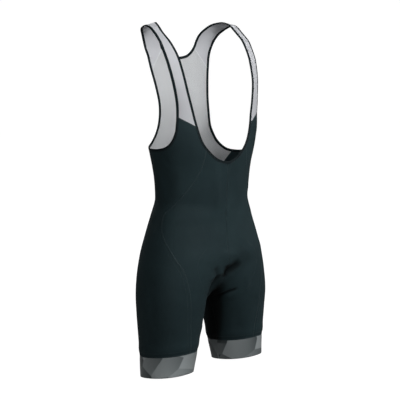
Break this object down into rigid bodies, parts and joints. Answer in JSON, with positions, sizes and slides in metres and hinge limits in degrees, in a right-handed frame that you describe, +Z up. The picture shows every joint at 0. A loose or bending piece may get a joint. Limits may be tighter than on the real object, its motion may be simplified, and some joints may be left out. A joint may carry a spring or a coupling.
{
  "type": "cycling bib shorts",
  "caption": "Hollow close-fitting stretch shorts with slanted shoulder straps, a mesh upper back, a scooped bound neckline, bound armholes and elastic leg bands.",
  "frame": {"origin": "midway between the two straps, level with their undersides where they rest on the shoulders", "axes": "+Z up from the legs to the shoulders, -Y towards the front of the garment, +X towards the garment's left"},
  "size_m": [0.3668, 0.2209, 0.9076],
  "materials": {
    "black_knit": "matt warp knit with a faint sheen",
    "strap_knit": "smooth matt knit",
    "mesh_knit": "fine open mesh",
    "band_elastic": "smooth elastic with a tonal facet print",
    "binding": "folded elastic tape"
  },
  "bodies": {
    "root": {"front_panel_right": "black_knit", "front_panel_left": "black_knit", "side_panel_right": "black_knit", "side_panel_left": "black_knit", "seat_panel_right": "black_knit", "seat_panel_left": "black_knit", "strap_right": "strap_knit", "strap_left": "strap_knit", "back_mesh": "mesh_knit", "leg_band_right": "band_elastic", "leg_band_left": "band_elastic", "armhole_binding_right": "binding", "armhole_binding_left": "binding", "neck_binding": "binding"}
  },
  "joints": []
}
